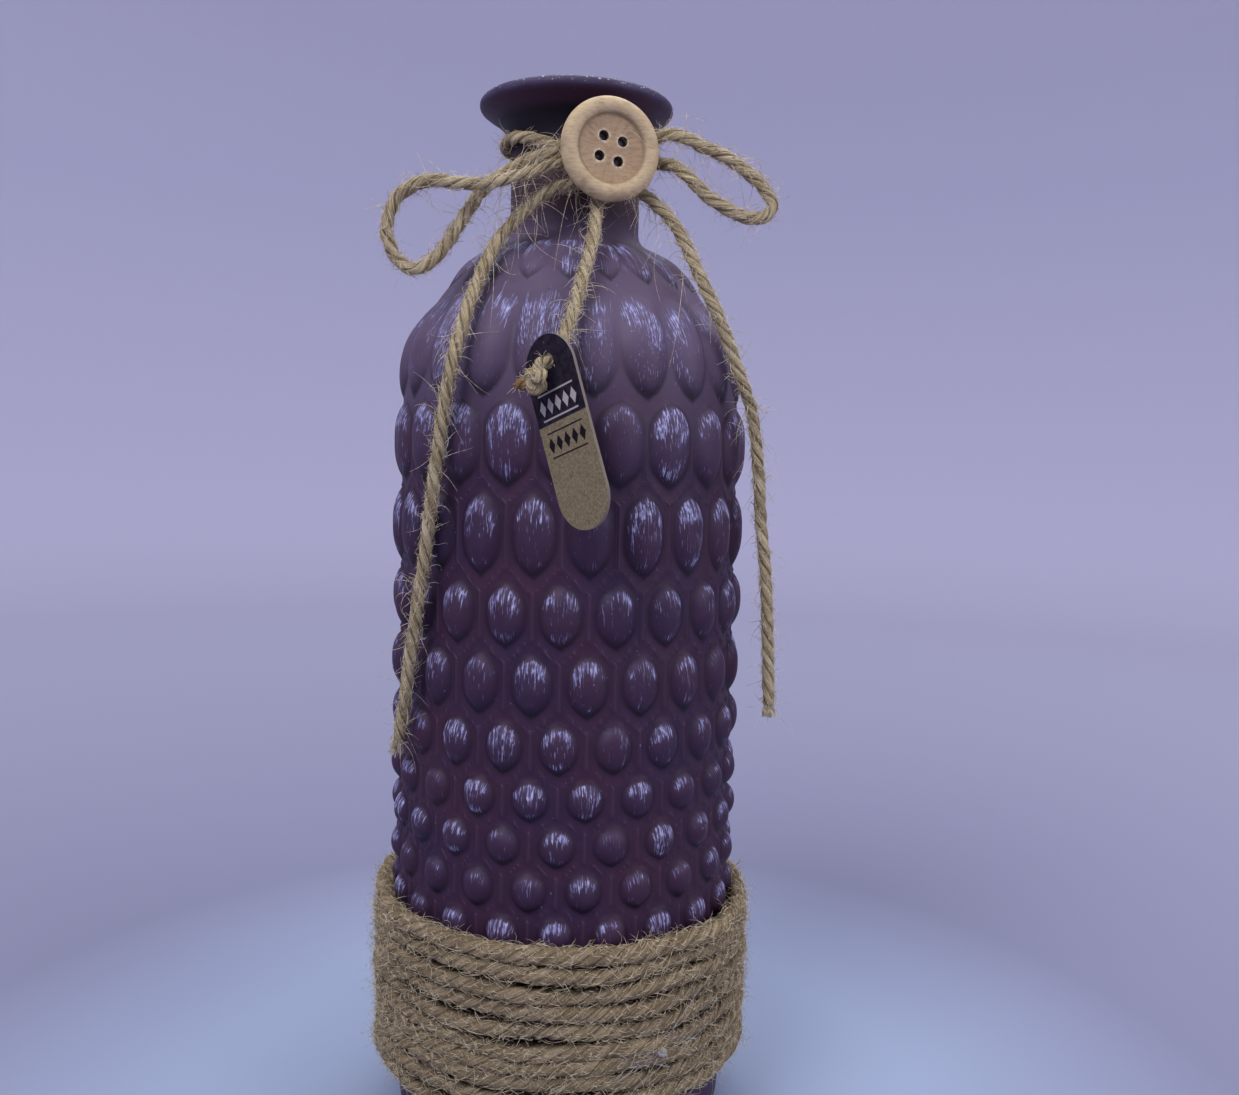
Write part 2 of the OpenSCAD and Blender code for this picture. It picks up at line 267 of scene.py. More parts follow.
tag_string_route = [mm(*p) for p in (
    (6.06, -21.15, 252.6), (6.06, -21.15, 251.1), (5.5, -24, 246), (5.2, -28.5, 240.5), (4.2, -33.8, 233.5),
    (2.6, -39, 226.5), (1.1, -43.7, 220), (-0.4, -47.4, 214.5), (-2.2, -50, 209), (-3.68, -52.59, 204.05),
    (-4.62, -53.46, 203.96))]

# %% The free cords
free_cords = {}


def declare(piece, route, points, far_end, *on_it):
    round(length_of(points), 4)
    [tuple(p) for p in points[::3]] + [tuple(points[-1])]


for node, route, far_end in (
        ("left_loop", left_loop_route, "object"), ("right_loop", right_loop_route, "object"),
        ("left_tail", left_tail_route, "bare"), ("right_tail", right_tail_route, "bare")):
    points = smooth(route, 0.9 * MM)
    piece = roll_cord("twine_" + node, points, TWINE, TWINE_LAY, loose=0.09, seed=len(free_cords) + 1,
                      taper_end=2.5 * MM if far_end == "bare" else 0.0)
    stands_for(piece, BOTTLE, "jute_twine", node)
    declare(piece, route, points, far_end)
    free_cords[node] = (piece, points)

string_points = smooth(tag_string_route, 0.9 * MM)
tag_string = roll_cord("twine_tag_string", string_points, TWINE, TWINE_LAY, loose=0.09, seed=9)
stands_for(tag_string, "tag_string", "jute_twine", "tag_string")

# %% [markdown]
# ## The knot that stops the tag
# The string goes through the tag's hole and ends in an overhand knot, in front of the card.
# An overhand knot is a trefoil that has been cut open, so three sine waves draw it.
# Its short end sticks out and is singed brown, so that it doesn't fray.

# %% Stopper knot
HOLE = mm(-5.2, -54, 203.9)
TAG_TURN, TAG_LEAN, TAG_ROLL = math.radians(47), math.radians(4), math.radians(18)
hang = Matrix.Translation(HOLE) @ Matrix.Rotation(-TAG_TURN, 4, "Z") @ Matrix.Rotation(TAG_LEAN, 4, "X")


def trefoil(t, size):
    """Overhand knot, lying in the X-Z plane. It is open where t is near zero."""
    return Vector((math.sin(t) + 2 * math.sin(2 * t), -1.1 * math.sin(3 * t),
                   math.cos(t) - 2 * math.cos(2 * t))) * size


knot_middle = Vector((0.4, -4.4, -4.2)) * MM
knot_route = [Vector((0, 1.0, 0)) * MM, Vector((0, -1.2, -0.2)) * MM, Vector((0.2, -3.2, -0.9)) * MM]
knot_route += [knot_middle + trefoil(0.55 + k * (2 * math.pi - 1.1) / 22, 0.68 * MM) for k in range(23)]
knot_route += [knot_middle + Vector((-3.2, -1.6, -0.6)) * MM, knot_middle + Vector((-4.6, -1.8, -1.6)) * MM]
knot_points = smooth([hang @ p for p in knot_route], 0.5 * MM)
tag_knot = roll_cord("twine_tag_knot", knot_points, 2.9 * MM, 10 * MM, taper_end=2.2 * MM, loose=0.12, rough=0.1,
                     seed=4)
stands_for(tag_knot, "tag_string", "jute_twine", "tag_knot")

# %% [markdown]
# ## Twine that the bottle holds
# The turn round the neck and the hitch behind the button lie on the bottle all the way.
# They are rolled in the same way as the free cords, but aren't declared as cords.

# %% Neck loop and hitch
BOW_TURN = math.radians(16)
LOOP_RADIUS, HITCH_RADIUS = 18.9 * MM, 3.0 * MM


def ring_route(radius, start, end, count, height):
    points = []
    for k in range(count + 1):
        a = start + (end - start) * k / count
        points.append(Matrix.Rotation(BOW_TURN, 3, "Z") @ Vector((radius * math.sin(a), -radius * math.cos(a),
                                                                height(a))))
    return points


neck_route = ring_route(LOOP_RADIUS, math.radians(19.0), math.radians(341.0), 60,
                        lambda a: (264.4 - 6.6 * max(math.cos(a), 0) ** 3) * MM)
neck_points = spaced(neck_route, 0.9 * MM)
neck_loop = roll_cord("twine_neck_loop", neck_points, TWINE, TWINE_LAY, loose=0.06, seed=6)
stands_for(neck_loop, BOTTLE, "jute_twine", "neck_loop")

across = Vector((math.cos(BOW_TURN), math.sin(BOW_TURN), 0))
outward = Vector((math.sin(BOW_TURN), -math.cos(BOW_TURN), 0))
hitch_route = []
for k in range(97):
    a = 2 * math.pi * k / 32
    hitch_route.append(KNOT + across * (k / 48 - 1) * 4.4 * MM
                       + (outward * math.cos(a) + Vector((0, 0, math.sin(a)))) * HITCH_RADIUS)
hitch_points = spaced(hitch_route, 0.8 * MM)
hitch = roll_cord("twine_hitch", hitch_points, TWINE, TWINE_LAY, loose=0.05, seed=7)
stands_for(hitch, BOTTLE, "jute_twine", "bow_knot")

# %% [markdown]
# ## The rope round the foot
# A thicker rope winds nine times round the bottle and lies on the lowest hobnails.
# A hand-wound rope isn't a perfect helix. Its turns rise and sink a little, so a slow noise moves them together.
# A weaker noise of its own for each turn presses it against one neighbour and leaves a gap at the other.

# %% Rope wrap
ROPE = 4.5 * MM
ROPE_LAY = 17.0 * MM
ROPE_RADIUS = 49.47 * MM
ROPE_PITCH = 4.6 * MM
ROPE_TOP = 67.0 * MM
ROPE_START = math.radians(165)
ROPE_TURNS = 9.2

rope_route = []
for k in range(int(ROPE_TURNS * 120) + 1):
    a = ROPE_START + 2 * math.pi * k / 120
    turn = k / 120
    wave = noise.noise(Vector((2.2 * math.cos(a), 2.2 * math.sin(a), 0.35 * turn))) * 1.2 * MM
    wave += noise.noise(Vector((1.6 * math.cos(a), 1.6 * math.sin(a), 30 + 1.7 * turn))) * 1.1 * MM
    wave *= min(turn, 1.0) * min(ROPE_TURNS - turn, 1.0)
    push = noise.noise(Vector((3.1 * math.cos(a), 3.1 * math.sin(a), 5 + 1.1 * turn))) * 1.1 * MM
    z = ROPE_TOP - ROPE / 2 - ROPE_PITCH * turn + wave
    rope_route.append(Vector(((ROPE_RADIUS + push) * math.cos(a), (ROPE_RADIUS + push) * math.sin(a), z)))
rope_points = spaced(rope_route, 1.0 * MM)
rope_wrap = roll_cord("rope_wrap", rope_points, ROPE, ROPE_LAY, strands=4, per_strand=5, loose=0.14,
                      rough=0.2, taper_start=2.5 * MM, taper_end=2.5 * MM, seed=3)
stands_for(rope_wrap, BOTTLE, "jute_rope", "base_rope")

# %% [markdown]
# ## Stray fibres
# Jute is hairy. Fibres of a few centimetres are spun into the strands, and their ends come loose.
# Each loose end is a thin hair that leaves the cord, leans along it and curls.
# All the hairs of a cord are splines of one curve, which has a round bevel, and the curve is made into a mesh.

# %% Hairs
def hairs_to_mesh(name, curve, body, slot):
    holder = bpy.data.objects.new(name + "_curve", curve)
    bpy.context.scene.collection.objects.link(holder)
    mesh = bpy.data.meshes.new_from_object(holder.evaluated_get(bpy.context.evaluated_depsgraph_get()))
    bpy.data.objects.remove(holder)
    return stands_for(add_object(name, mesh), body, slot)


def hair_curve(name, thick):
    curve = bpy.data.curves.new(name, "CURVE")
    curve.dimensions = "3D"
    curve.bevel_depth = thick / 2
    curve.bevel_resolution = 0
    curve.use_fill_caps = True
    return curve


def add_hair(curve, places, radii):
    """One hair, as a spline of the curve. Each radius is a share of the bevel's."""
    spline = curve.splines.new("POLY")
    spline.points.add(len(places) - 1)
    for point, place, radius in zip(spline.points, places, radii):
        point.co, point.radius = (*place, 1), radius


def grow_hairs(name, points, width, count, reach, seed, body=BOTTLE, slot="jute_twine", keep=None, thick=0.13 * MM,
               joints=6, lying=False):
    """Loose fibre ends on a cord. `keep` can refuse a root, from its place and its direction.

    Hairs that are `lying` keep close to the cord, as fuzz. The others stand off and curl.
    """
    rng = random.Random(seed)
    frames = carried_frames(points)
    curve = hair_curve(name, thick)
    grown = 0
    for _ in range(count):
        i = rng.randrange(len(points))
        t, n, b = frames[i]
        a = rng.uniform(0, 2 * math.pi)
        away = math.cos(a) * n + math.sin(a) * b
        root = points[i] + away * width * (0.5 if lying else 0.42)
        if keep and not keep(root, away):
            continue
        size = reach * (0.25 + 0.75 * rng.random() ** 2.2)
        if lying:
            lean = t * rng.choice((-1, 1)) * rng.uniform(0.4, 1.5) + away * rng.uniform(0.15, 0.5)
            lean -= t.cross(away) * rng.uniform(-0.9, 1.2)
        else:
            lean = t * rng.choice((-1, 1)) * rng.uniform(0.3, 1.6) + away + t.cross(away) * rng.uniform(-1.0, 0.4)
        step = lean.normalized() * size / (joints - 1)
        if lying:
            curl = Matrix.Rotation(rng.gauss(0, 0.28), 3, away)
        else:
            curl = Matrix.Rotation(rng.gauss(0, 0.30), 3, Vector([rng.gauss(0, 1) for _ in range(3)]))
        place, places = root.copy(), []
        for _ in range(joints):
            places.append(place.copy())
            place += step
            step = curl @ step + Vector((0, 0, -size * 0.01))
            if lying:
                step -= away * size * 0.045
        add_hair(curve, places, [1.15 - 0.85 * k / (joints - 1) for k in range(joints)])
        grown += 1
    piece = hairs_to_mesh(name, curve, body, slot)
    print(f"{name}: {grown} hairs, {len(piece.data.polygons)} faces")
    return piece


# %% Hairs of the rope and the twine
def outside_rope(root, away):
    flat = Vector((root.x, root.y, 0)).normalized()
    return away.dot(flat) > 0.5 or root.z > ROPE_TOP - 3.5 * MM


rope_hairs = grow_hairs("rope_hairs", rope_points, ROPE, 6000, 6.5 * MM, 21, slot="jute_rope", keep=outside_rope)
rope_fuzz = [grow_hairs(f"rope_fuzz_{k}", rope_points, ROPE, 8500, 7.0 * MM, 221 + k, slot="jute_rope",
                        keep=outside_rope, joints=5, thick=0.13 * MM, lying=True) for k in range(3)]
hairy = []
for k, (node, (piece, points)) in enumerate(free_cords.items()):
    span = length_of(points) / MM
    hairy.append(grow_hairs("hairs_" + node, points, TWINE, int(span * 2.0), 10 * MM, 31 + k, joints=8))
    hairy.append(grow_hairs("fuzz_" + node, points, TWINE, int(span * 7), 3.6 * MM, 131 + k, joints=4, lying=True))
hairy.append(grow_hairs("hairs_neck_loop", neck_points, TWINE, 260, 6 * MM, 41))
hairy.append(grow_hairs("hairs_hitch", hitch_points, TWINE, 120, 20 * MM, 42, joints=14,
                        keep=lambda root, away: away.dot(outward) < 0.3))
for k, node in enumerate(("left_tail", "right_tail", "left_loop", "right_loop")):
    hairy.append(grow_hairs("curls_" + node, free_cords[node][1][:40], TWINE, 22, 26 * MM, 71 + k, joints=16))
hairy.append(grow_hairs("hairs_tag_string", string_points, TWINE, 150, 10 * MM, 43, body="tag_string", joints=8))
hairy.append(grow_hairs("fuzz_tag_string", string_points, TWINE, 400, 3.6 * MM, 143, body="tag_string", joints=4,
                        lying=True))
hairy.append(grow_hairs("hairs_tag_knot", knot_points, 2.9 * MM, 170, 3.2 * MM, 44, body="tag_string"))

# %% [markdown]
# ## Frayed ends
# Each tail is cut square and has begun to open. A tuft of fibres, a little thicker than the stray hairs, fans
# out from the cut.

# %% Tufts
def fray(name, points, width, count, reach, seed, body=BOTTLE):
    rng = random.Random(seed)
    t, n, b = carried_frames(points)[-1]
    end = points[-1]
    curve = hair_curve(name, 0.18 * MM)
    for _ in range(count):
        a, r = rng.uniform(0, 2 * math.pi), width / 2 * math.sqrt(rng.random()) * 0.8
        off = (math.cos(a) * n + math.sin(a) * b) * r
        spread = rng.uniform(0.1, 0.55)
        size = reach * rng.uniform(0.4, 1.0)
        places = []
        for k in range(4):
            f = k / 3
            place = end - t * 1.5 * MM + off * (1 + 1.6 * spread * f * f) + t * (1.5 * MM + size) * f
            places.append(place + Vector([rng.gauss(0, 0.12) for _ in range(3)]) * MM * f)
        add_hair(curve, places, [1.2 - 0.2 * k for k in range(4)])
    return hairs_to_mesh(name, curve, body, "jute_twine")


hairy.append(fray("fray_left_tail", free_cords["left_tail"][1], TWINE, 170, 3.2 * MM, 51))
hairy.append(fray("fray_right_tail", free_cords["right_tail"][1], TWINE, 150, 1.8 * MM, 52))
print(len(hairy), "groups of loose fibres")

# %% [markdown]
# ## The bottle's section
# A bottle is round, so half of its section is drawn once and spun.
# The outside goes down from the lip to the push-up under the base, and the inside comes back up to the mouth.
# The dome of the shoulder is an arc, and a smaller arc turns it up into the neck.

# %% Section of the bottle
BODY_R, BODY_H = 45.0, 194.0
DOME_R = 51.0
DOME_X = BODY_R - DOME_R
NECK_R, MOUTH_R = 17.2, 13.0
WALL = 3.4
NECK_FILLET = 5.0


def arc(cx, cz, r, start, end, count):
    """Points on an arc in the section, with its angles in degrees from the outward direction."""
    return [(cx + r * math.cos(math.radians(start + (end - start) * k / count)),
             cz + r * math.sin(math.radians(start + (end - start) * k / count))) for k in range(count + 1)]


# The fillet touches the dome and the neck: its middle is one fillet away from both.
fillet_x = NECK_R + NECK_FILLET
fillet_z = BODY_H + math.sqrt((DOME_R + NECK_FILLET) ** 2 - (fillet_x - DOME_X) ** 2)
dome_end = math.degrees(math.atan2(fillet_z - BODY_H, fillet_x - DOME_X))

lip_and_neck = arc(24.2, 274.5, 1.5, 90, -40, 9)
lip_and_neck += [(24.1, 272.6), (22.6, 271.7), (20.9, 270.4), (19.4, 268.9), (18.3, 267.4), (17.6, 265.8),
                 (17.25, 264.0)] + [(NECK_R, z) for z in (261.0, 258.0, 255.0, 252.0, 249.0, 246.5, 244.5)]
lip_and_neck += arc(fillet_x, fillet_z, NECK_FILLET, 180, 180 + dome_end, 7)
dome = arc(DOME_X, BODY_H, DOME_R, dome_end, 0, 52)[1:]
straight = [(BODY_R, BODY_H - 1.0 * k) for k in range(1, 134)]
low = [(BODY_R, z) for z in (59, 57, 54, 51, 48, 44, 40, 36, 32, 28, 24, 21, 18, 15, 12)]
heel = arc(BODY_R - 9, 9, 9, 0, -90, 8)
punt = [(33.4, 0.15), (31.0, 0.75), (25.0, 1.65), (17.0, 2.4), (9.0, 2.85), (0.0, 3.0)]
outside = lip_and_neck + dome + straight + low + heel + punt
inside = [(0.0, 6.2), (12.0, 6.2), (24.0, 6.2), (33.0, 6.4), (38.0, 7.8), (41.0, 11.0), (41.6, 16.0)]
inside += [(BODY_R - WALL, z) for z in (40, 70, 100, 130, 160, 180)]
inside += [p for p in arc(DOME_X, BODY_H, DOME_R - WALL, 0, 66, 12) if p[0] > MOUTH_R]
inside += [(MOUTH_R, 238.5), (MOUTH_R, 250.0), (MOUTH_R, 262.0), (MOUTH_R, 271.0), (13.3, 274.3),
           (14.3, 275.6), (15.8, 276.0)]
print(len(outside), "points outside and", len(inside), "inside")

# %% [markdown]
# ## The hobnails
# The mould presses rows of swelling drops into the wall. Twenty-one of them go round, and every other row is
# turned by half a step. The upper rows are long drops with pointed ends, and the lower ones are nearly round. On
# the shoulder they widen into petals that almost touch, with small buds above.
# Separate balls would meet the wall in a hard line. Here the wall itself swells: each corner of the spun mesh
# moves out by a height that depends on where it is on its hobnail.

# %% Rows of hobnails
AROUND = 21
STEP = 360 / AROUND
FIRST_TURN = -2.0
# Each row: middle and half length along the wall, half width, crest, turn, how pointed its ends are, and how long
# its sides stay straight.
# Places along the wall are counted up from where the dome starts.
HOB_GAP = 1.7
rows = []
top = HOB_GAP
for k, (length, wide, crest, point, blunt) in enumerate((
        (20.25, 6.1, 2.5, 0.80, 2.9), (19.8, 5.2, 2.6, 0.86, 2.8), (15.3, 4.9, 2.6, 0.82, 2.6),
        (14.85, 4.8, 2.6, 0.76, 2.5), (12.15, 4.5, 2.6, 0.66, 2.3), (9.9, 4.35, 2.6, 0.58, 2.1),
        (9.45, 4.3, 2.6, 0.54, 2.0), (9.45, 4.25, 2.6, 0.5, 2.0), (9.45, 4.2, 2.5, 0.5, 2.0),
        (9.45, 4.2, 2.4, 0.5, 2.0))):
    rows.append((top - length / 2, length / 2, wide, crest, FIRST_TURN + (k % 2) * STEP / 2, point, blunt))
    top -= length + HOB_GAP
rows.append((math.radians(18.5) * DOME_R, 13.5, 6.2, 2.5, FIRST_TURN + STEP / 2, 0.6, 2.4))
rows.append((math.radians(48) * DOME_R, 9.0, 4.1, 1.3, FIRST_TURN, 0.8, 2.0))
PETALS = len(rows) - 2
# The net of ridges in the valleys: its height, how near to halfway between two hobnails it stays, and the stretch
# under the dome over which it fades in.
NET_HEIGHT, NET_WIDTH, NET_FADE = 0.6, 0.3, 12


def hobnail_at(turn, along, radius):
    """What the wall does at a place: its height there, and where on its hobnail it is.

    Nearness is 0 on a hobnail's crown, 1 on its edge and more in the valley. Where two hobnails are equally near,
    the glass has drawn up into a faint ridge, so the valleys carry a net of them.
    """
    best, second = (9.0, 0.0, 0.0, 0.0, 0), 9.0
    for number, (middle, half, wide, crest, offset, point, blunt) in enumerate(rows):
        share = (along - middle) / half
        if abs(share) > 1.5:
            continue
        cell = math.floor((turn - offset) / STEP + 0.5)
        u = math.radians(turn - offset - cell * STEP) * radius
        beyond = math.radians(STEP) * radius - abs(u)
        petal_top = number >= PETALS and share > 0
        # The lower end of a drop is more pointed than its crown, and a petal's upper end only fades away.
        end = 1 - min(abs(share), 1.0) ** (1.5 if petal_top else blunt if share > 0 else blunt - 0.25 * (blunt - 1.6))
        sharp = 0.2 if petal_top else point * (1.12 if share < 0 else 0.85)
        reach = wide * end ** sharp
        height = 0.0
        if abs(share) >= 1:
            near = 1 + math.hypot(u, (abs(share) - 1) * half) / wide
            next_near = 1 + math.hypot(beyond, (abs(share) - 1) * half) / wide
        else:
            across = abs(u) / max(reach, 0.01)
            next_near = 1 + (beyond - reach) / wide
            if across < 1:
                near = math.sqrt(1 - (1 - across * across) * end)
                fall = 1.15 if petal_top else sharp + 0.12
                height = crest * (1 - across * across) ** (1.0 if number >= PETALS else 0.82) * end ** fall
            else:
                near = 1 + (abs(u) - reach) / wide
        if near < best[0]:
            second = min(second, best[0])
            best = (near, height, u, share, number * AROUND + cell % AROUND)
        else:
            second = min(second, near)
        second = min(second, next_near)
    ridge = max(1 - (second - best[0]) / NET_WIDTH, 0.0) * min(max((best[0] - 1) / 0.12, 0.0), 1.0)
    ridge *= min(max(-along / NET_FADE, 0.0), 1.0)
    return best[1] + NET_HEIGHT * ridge * ridge, best[0], best[2], best[3], best[4], ridge


print(len(rows), "rows of", AROUND, "hobnails")

# %% [markdown]
# ## Spinning the bottle
# `spin` sweeps the section round in 336 steps, sixteen for each hobnail. It starts on the middle line of one, so
# that crowns and valleys fall on corners of the mesh.
# Afterwards the corners on the outside are moved out along the wall's own direction.
# Two attributes go with them for the paint: `hob`, for how near the edge a place is, and `stroke`, which follows
# the brush.

# %% Spin and swell
STEPS_EACH = 16
first_crown = Matrix.Rotation(math.radians(FIRST_TURN - 90), 3, "Z")
bm = spun(outside + inside, AROUND * STEPS_EACH, start=first_crown, closed=True)
flat_faces = [f for f in bm.faces if f.calc_area() < 1e-14]
bmesh.ops.delete(bm, geom=flat_faces, context="FACES")
hob = bm.verts.layers.float_vector.new("hob")
stroke = bm.verts.layers.float_vector.new("stroke")
moved = 0
for v in bm.verts:
    x, y, z = v.co / MM
    r = math.hypot(x, y)
    v[hob] = Vector((2.0, 0.0, 0.0))
    if not 20 <= z <= 262:
        continue
    if z <= BODY_H:
        on_wall, along, way = r > BODY_R - 1, z - BODY_H, (1.0, 0.0)
    else:
        bearing = math.atan2(z - BODY_H, r - DOME_X)
        away = math.hypot(z - BODY_H, r - DOME_X)
        on_wall, along = away > DOME_R - 1 and r < BODY_R + 1 and z < fillet_z - 1, bearing * DOME_R
        way = (math.cos(bearing), math.sin(bearing))
    if not on_wall:
        continue
    turn = math.degrees(math.atan2(x, -y)) % 360
    height, near, u, share, number, ridge = hobnail_at(turn, along, r)
    luck = random.Random(number).random()
    v[hob] = Vector((near, share, luck))
    v[stroke] = Vector((u * (1.0 - 0.16 * share), ridge, luck * 37.0))
    if height > 0:
        v.co += Vector((x / r * way[0], y / r * way[0], way[1])) * height * MM
        moved += 1
bmesh.ops.recalc_face_normals(bm, faces=bm.faces)
open_edges = sum(1 for e in bm.edges if e.is_boundary)
painted_bottle = add_object("painted_bottle", bm)
stands_for(painted_bottle, BOTTLE, "painted_glass", "bottle")
print(len(painted_bottle.data.polygons), "faces,", moved, "corners swollen,", open_edges, "open edges")

# %% [markdown]
# ## The button
# A coat button is turned on a lathe, so it is spun too: a rolled rim round a flat dish.
# The four sewing holes are drilled with a Boolean, and a small bevel eases every sharp edge.

# %% Button
BUTTON_R, BUTTON_T, DISH = 12.5, 4.5, 1.5
RIM = BUTTON_T / 2
SEW_PITCH, SEW_R, SEW_TURN = 4.9, 1.2, 12
sewing = [(SEW_PITCH / math.sqrt(2) * math.cos(math.radians(a)), SEW_PITCH / math.sqrt(2) * math.sin(math.radians(a)))
          for a in range(45 - SEW_TURN, 360, 90)]
button_section = [(0.0, 0.0)] + [(BUTTON_R - RIM, 0.0)] + arc(BUTTON_R - RIM, RIM, RIM, -90, 150, 22)[1:]
button_section += [(BUTTON_R - 2 * RIM + 0.15, BUTTON_T - DISH + 0.12), (BUTTON_R - 2 * RIM - 0.35, BUTTON_T - DISH),
                   (4.0, BUTTON_T - DISH - 0.05), (0.0, BUTTON_T - DISH - 0.05)]
bm = spun(button_section, 96)
bmesh.ops.recalc_face_normals(bm, faces=bm.faces)
button = add_object("wooden_button", bm)

bm = bmesh.new()
for x, y in sewing:
    bmesh.ops.create_cone(bm, cap_ends=True, segments=28, radius1=SEW_R * MM, radius2=SEW_R * MM, depth=8 * MM,
                          matrix=Matrix.Translation(mm(x, y, 2)))
drill = add_object("drill", bm)
cut = button.modifiers.new("sewing_holes", "BOOLEAN")
cut.object, cut.operation, cut.solver = drill, "DIFFERENCE", "EXACT"
ease = button.modifiers.new("eased", "BEVEL")
ease.width, ease.segments, ease.limit_method, ease.angle_limit = 0.22 * MM, 2, "ANGLE", math.radians(50)
drilled = bpy.data.meshes.new_from_object(button.evaluated_get(bpy.context.evaluated_depsgraph_get()))
button.modifiers.clear()
bpy.data.objects.remove(drill)
face_on = Matrix.Rotation(BOW_TURN, 4, "Z") @ Matrix.Translation(mm(0, -27.8, 257.3)) @ Matrix.Rotation(
    math.pi / 2, 4, "X")
drilled.transform(face_on)
drilled.shade_smooth()
button.data = drilled
stands_for(button, BOTTLE, "button_wood", "button")
print("button:", len(drilled.polygons), "faces")

# %% [markdown]
# ## Hot glue
# The button sits on a blob of clear glue, which shows behind its edge and deep in its sewing holes.
# Another drop squeezed out between two turns of the rope and left a few threads.
# An icosphere that is pressed flat and pushed about by noise looks like glue that set as it ran.

# %% Glue
def blob(place, size, rough, seed, cells=4):
    """A lump of glue: a ball, scaled and set in place by a matrix, with an uneven surface."""
    bm = bmesh.new()
    bmesh.ops.create_icosphere(bm, subdivisions=cells, radius=1.0)
    for v in bm.verts:
        bump = noise.noise(v.co * 2.1 + Vector((seed, 0, 0))) * rough
        v.co = Vector((v.co.x * size[0], v.co.y * size[1], v.co.z * size[2])) * (1 + bump) * MM
    bmesh.ops.transform(bm, matrix=place, verts=bm.verts)
    return bm


pad = blob(face_on @ Matrix.Translation(mm(0, 0, -0.55)), (8.6, 7.6, 0.62), 0.3, 3)
for k, (x, y) in enumerate(sewing):
    tall = 0.45 + 0.3 * math.sin(3 * k)
    plug = blob(face_on @ Matrix.Translation(mm(x, y, 0.1)), (0.95, 0.95, tall), 0.25, 10 + k, 3)
    shape = bpy.data.meshes.new("plug")
    plug.to_mesh(shape)
    plug.free()
    pad.from_mesh(shape)
glue_pad = stands_for(add_object("glue_pad", pad), BOTTLE, "hot_glue", "button_glue")

DROP = mm(25.3, -45.7, 37.7)
drop = blob(Matrix.Translation(DROP), (1.1, 1.1, 1.15), 0.18, 21)
glue_drop = stands_for(add_object("glue_drop", drop), BOTTLE, "hot_glue", "rope_glue_bead")

# Threads that the glue gun drew from the drop, over the rope's turns
rng = random.Random(61)
curve = hair_curve("glue_threads", 0.22 * MM)
for _ in range(18):
    places, radii = [], []
    turn = math.atan2(DROP.y, DROP.x) + rng.gauss(0, 0.08)
    height = DROP.z + rng.gauss(0.2, 2.6) * MM
    slope, drift = rng.gauss(0, 0.35), rng.choice((-1, 1)) * rng.uniform(0.5, 1.3) * MM
    for _ in range(12):
        out = 51.75 * MM + 0.25 * MM * math.sin(height / MM * 1.36)
        places.append((out * math.cos(turn), out * math.sin(turn), height))
        radii.append(rng.uniform(0.35, 1.2))
        turn += drift / out
        height += slope * abs(drift) + rng.gauss(0, 0.16) * MM
    add_hair(curve, places, radii)
glue_threads = hairs_to_mesh("glue_threads", curve, BOTTLE, "hot_glue")

# %% [markdown]
# ## The tag
# A strip of card with round ends hangs by its hole and has turned to the left.
# It starts as a flat outline, gets its thickness by an extrusion, and its cut edges are eased with a bevel.
# Card is never quite flat, so the strip is bent a little along its length.

# %% Tag
TAG_W, TAG_L, TAG_T, HOLE_IN, HOLE_R = 16.0, 45.0, 1.0, 6.0, 1.9


def tag_outline(bm):
    """The card's rim as a closed chain of vertices, with its hole at the origin and its face towards -Y."""
    r = TAG_W / 2
    rim = arc(0, HOLE_IN - r, r, 0, 180, 32) + arc(0, HOLE_IN - TAG_L + r, r, 180, 360, 32)
    return [bm.verts.new((x * MM, 0, z * MM)) for x, z in rim]


bm = bmesh.new()
rim = tag_outline(bm)
for a, b in zip(rim, rim[1:] + rim[:1]):
    bm.edges.new((a, b))
bmesh.ops.create_circle(bm, cap_ends=False, segments=36, radius=HOLE_R * MM,
                        matrix=Matrix.Rotation(math.pi / 2, 4, "X"))
bmesh.ops.triangle_fill(bm, edges=bm.edges, use_beauty=True)
for z in range(-38, 6):
    bmesh.ops.bisect_plane(bm, geom=bm.verts[:] + bm.edges[:] + bm.faces[:], plane_co=(0, 0, z * MM),
                           plane_no=(0, 0, 1))
grown = bmesh.ops.extrude_face_region(bm, geom=bm.faces[:])
thick = [g for g in grown["geom"] if isinstance(g, bmesh.types.BMVert)]
bmesh.ops.translate(bm, verts=bm.verts, vec=(0, TAG_T / 2 * 0.85 * MM, 0))
bmesh.ops.translate(bm, verts=thick, vec=(0, -TAG_T * 0.85 * MM, 0))
bmesh.ops.recalc_face_normals(bm, faces=bm.faces)
sharp = [e for e in bm.edges if len(e.link_faces) == 2 and e.calc_face_angle(0) > 1.0]
bmesh.ops.bevel(bm, geom=sharp, offset=0.16 * MM, offset_type="OFFSET", affect="EDGES", segments=2, profile=0.5,
                material=-1, clamp_overlap=True)
on_card = bm.verts.layers.float_vector.new("card")
for v in bm.verts:
    v[on_card] = v.co / MM
    low = min(v.co.z / MM, 0) / 39
    v.co.y += (0.32 * low * low + 0.12 * math.sin(v.co.x / MM / 5)) * MM * (1 if v.co.z < 0 else 0.4)
bmesh.ops.transform(bm, matrix=hang @ Matrix.Rotation(-TAG_ROLL, 4, "Y"), verts=bm.verts)
tag = stands_for(add_object("card_tag", bm), "tag", "tag_card", "tag")
tag.data.set_sharp_from_angle(angle=math.radians(15))
declare(tag_string, tag_string_route, string_points, "knot", tag_knot, tag)
print("tag:", len(tag.data.polygons), "faces, box", [round(c * 1000) for c in tag.dimensions])

# %% [markdown]
# ## Writing materials as sums
# A material is a net of nodes, and most of its nodes only do arithmetic.
# `Wire` wraps one output socket. Sums, products and comparisons on it add the Math nodes, so a mask reads like
# a formula. `Finish.node` adds any other node.

